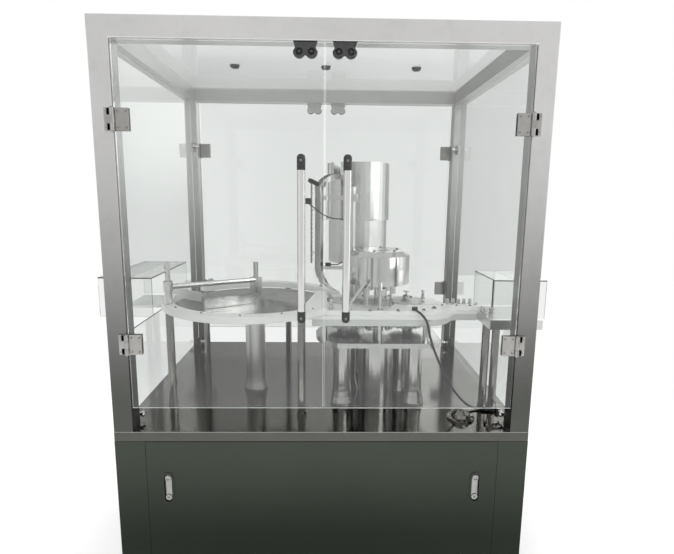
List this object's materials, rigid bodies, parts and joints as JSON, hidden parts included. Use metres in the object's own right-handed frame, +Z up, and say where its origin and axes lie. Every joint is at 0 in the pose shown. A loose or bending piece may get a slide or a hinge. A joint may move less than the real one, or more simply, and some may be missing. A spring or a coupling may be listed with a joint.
{
  "type": "bottle capping machine",
  "caption": "Glazed rotary capping machine for small vials, with rotary table, star wheels, spindle turret, vibratory cap bowl and chute on a stainless cabinet.",
  "frame": {"origin": "centre of the assembly's outline at floor level, under the levelling feet", "axes": "+X to the outfeed side, +Y to the rear doors, +Z up; the doors with handles face -Y"},
  "size_m": [1.44, 1.011, 1.91],
  "materials": {
    "steel": "fine brushed stainless",
    "cabinet_steel": "dark brushed stainless",
    "polished": "polished stainless",
    "white": "machined white plastic",
    "grey": "machined grey plastic",
    "black": "moulded black plastic",
    "glass": "clear",
    "iron": "painted cast housing"
  },
  "bodies": {
    "frame": {"cabinet_body": "cabinet_steel", "front_panel": "cabinet_steel", "deck_plate": "cabinet_steel", "drive_unit": "iron", "enclosure_frame": "steel", "roof_panel": "glass", "side_glass_left": "glass", "side_glass_right": "glass", "table_pedestal": "steel", "guard_ring_front": "white", "guard_ring_rear": "white", "guide_arm": "steel", "deflector": "steel", "infeed_plate": "grey", "outfeed_tray": "steel", "station_stand": "steel", "under_plate": "grey", "top_plate": "white", "front_guide": "white", "rear_guide": "white", "press_arm": "steel", "friction_ring": "cabinet_steel", "bowl_drive": "steel", "cap_bowl": "polished", "chute_support": "steel", "cap_chute": "steel", "upper_cap_sensor": "black", "lower_cap_sensor": "black", "probe": "black", "upper_sensor_lead": "black", "lower_sensor_lead": "black", "probe_lead": "black"},
    "left_latch": {"latch_lever_left": "steel"},
    "right_latch": {"latch_lever_right": "steel"},
    "left_front_door": {"front_door_left": "glass", "front_lower_clamp_left": "steel", "front_upper_clamp_left": "steel", "handle_left": "polished"},
    "right_front_door": {"front_door_right": "glass", "front_lower_clamp_right": "steel", "front_upper_clamp_right": "steel", "handle_right": "polished"},
    "left_rear_door": {"rear_door_left": "glass", "rear_lower_clamp_left": "steel", "rear_upper_clamp_left": "steel"},
    "right_rear_door": {"rear_door_right": "glass", "rear_lower_clamp_right": "steel", "rear_upper_clamp_right": "steel"},
    "table": {"turntable": "polished"},
    "turret": {"turret_shaft": "steel", "turret_star": "steel", "turret_bell": "polished"},
    "infeed_wheel": {"infeed_star": "steel"},
    "outfeed_wheel": {"outfeed_star": "steel"},
    "capper_1": {"spindle_1": "steel"},
    "capper_2": {"spindle_2": "steel"},
    "capper_3": {"spindle_3": "steel"},
    "capper_4": {"spindle_4": "steel"},
    "capper_5": {"spindle_5": "steel"},
    "capper_6": {"spindle_6": "steel"}
  },
  "joints": [
    {"name": "left_latch_hinge", "type": "hinge", "parent": "frame", "child": "left_latch", "pos_m": [-0.49, -0.453, 0.5447], "axis": [-1, 0, 0], "range_deg": [0, 60]},
    {"name": "right_latch_hinge", "type": "hinge", "parent": "frame", "child": "right_latch", "pos_m": [0.49, -0.453, 0.5447], "axis": [-1, 0, 0], "range_deg": [0, 60]},
    {"name": "left_front_door_hinge", "type": "hinge", "parent": "frame", "child": "left_front_door", "pos_m": [-0.59, -0.467, 0.7], "axis": [0, 0, -1], "range_deg": [0, 110]},
    {"name": "right_front_door_hinge", "type": "hinge", "parent": "frame", "child": "right_front_door", "pos_m": [0.59, -0.467, 0.7], "axis": [0, 0, 1], "range_deg": [0, 110]},
    {"name": "left_rear_door_hinge", "type": "hinge", "parent": "frame", "child": "left_rear_door", "pos_m": [-0.59, 0.499, 0.7], "axis": [0, 0, 1], "range_deg": [0, 110]},
    {"name": "right_rear_door_hinge", "type": "hinge", "parent": "frame", "child": "right_rear_door", "pos_m": [0.59, 0.499, 0.7], "axis": [0, 0, -1], "range_deg": [0, 110]},
    {"name": "table_spin", "type": "hinge", "parent": "frame", "child": "table", "pos_m": [-0.261, -0.089, 0.7], "axis": [0, 0, 1], "continuous": true},
    {"name": "turret_spin", "type": "hinge", "parent": "frame", "child": "turret", "pos_m": [0.19, -0.152, 0.7], "axis": [0, 0, 1], "continuous": true},
    {"name": "infeed_wheel_spin", "type": "hinge", "parent": "frame", "child": "infeed_wheel", "pos_m": [0.07756, -0.1235, 0.7], "axis": [0, 0, 1], "continuous": true},
    {"name": "outfeed_wheel_spin", "type": "hinge", "parent": "frame", "child": "outfeed_wheel", "pos_m": [0.30244, -0.1235, 0.7], "axis": [0, 0, 1], "continuous": true},
    {"name": "capper_1_spin", "type": "hinge", "parent": "turret", "child": "capper_1", "pos_m": [0.13378, -0.13775, 0.7], "axis": [0, 0, 1], "continuous": true},
    {"name": "capper_2_spin", "type": "hinge", "parent": "turret", "child": "capper_2", "pos_m": [0.14955, -0.19356, 0.7], "axis": [0, 0, 1], "continuous": true},
    {"name": "capper_3_spin", "type": "hinge", "parent": "turret", "child": "capper_3", "pos_m": [0.20577, -0.20781, 0.7], "axis": [0, 0, 1], "continuous": true},
    {"name": "capper_4_spin", "type": "hinge", "parent": "turret", "child": "capper_4", "pos_m": [0.24622, -0.16625, 0.7], "axis": [0, 0, 1], "continuous": true},
    {"name": "capper_5_spin", "type": "hinge", "parent": "turret", "child": "capper_5", "pos_m": [0.23045, -0.11044, 0.7], "axis": [0, 0, 1], "continuous": true},
    {"name": "capper_6_spin", "type": "hinge", "parent": "turret", "child": "capper_6", "pos_m": [0.17423, -0.09619, 0.7], "axis": [0, 0, 1], "continuous": true}
  ],
  "couplings": [
    {"joint": "infeed_wheel_spin", "follows": "turret_spin", "ratio": -1},
    {"joint": "outfeed_wheel_spin", "follows": "turret_spin", "ratio": -1},
    {"joint": "capper_1_spin", "follows": "turret_spin", "ratio": -4.6562},
    {"joint": "capper_2_spin", "follows": "turret_spin", "ratio": -4.6562},
    {"joint": "capper_3_spin", "follows": "turret_spin", "ratio": -4.6562},
    {"joint": "capper_4_spin", "follows": "turret_spin", "ratio": -4.6562},
    {"joint": "capper_5_spin", "follows": "turret_spin", "ratio": -4.6562},
    {"joint": "capper_6_spin", "follows": "turret_spin", "ratio": -4.6562}
  ]
}
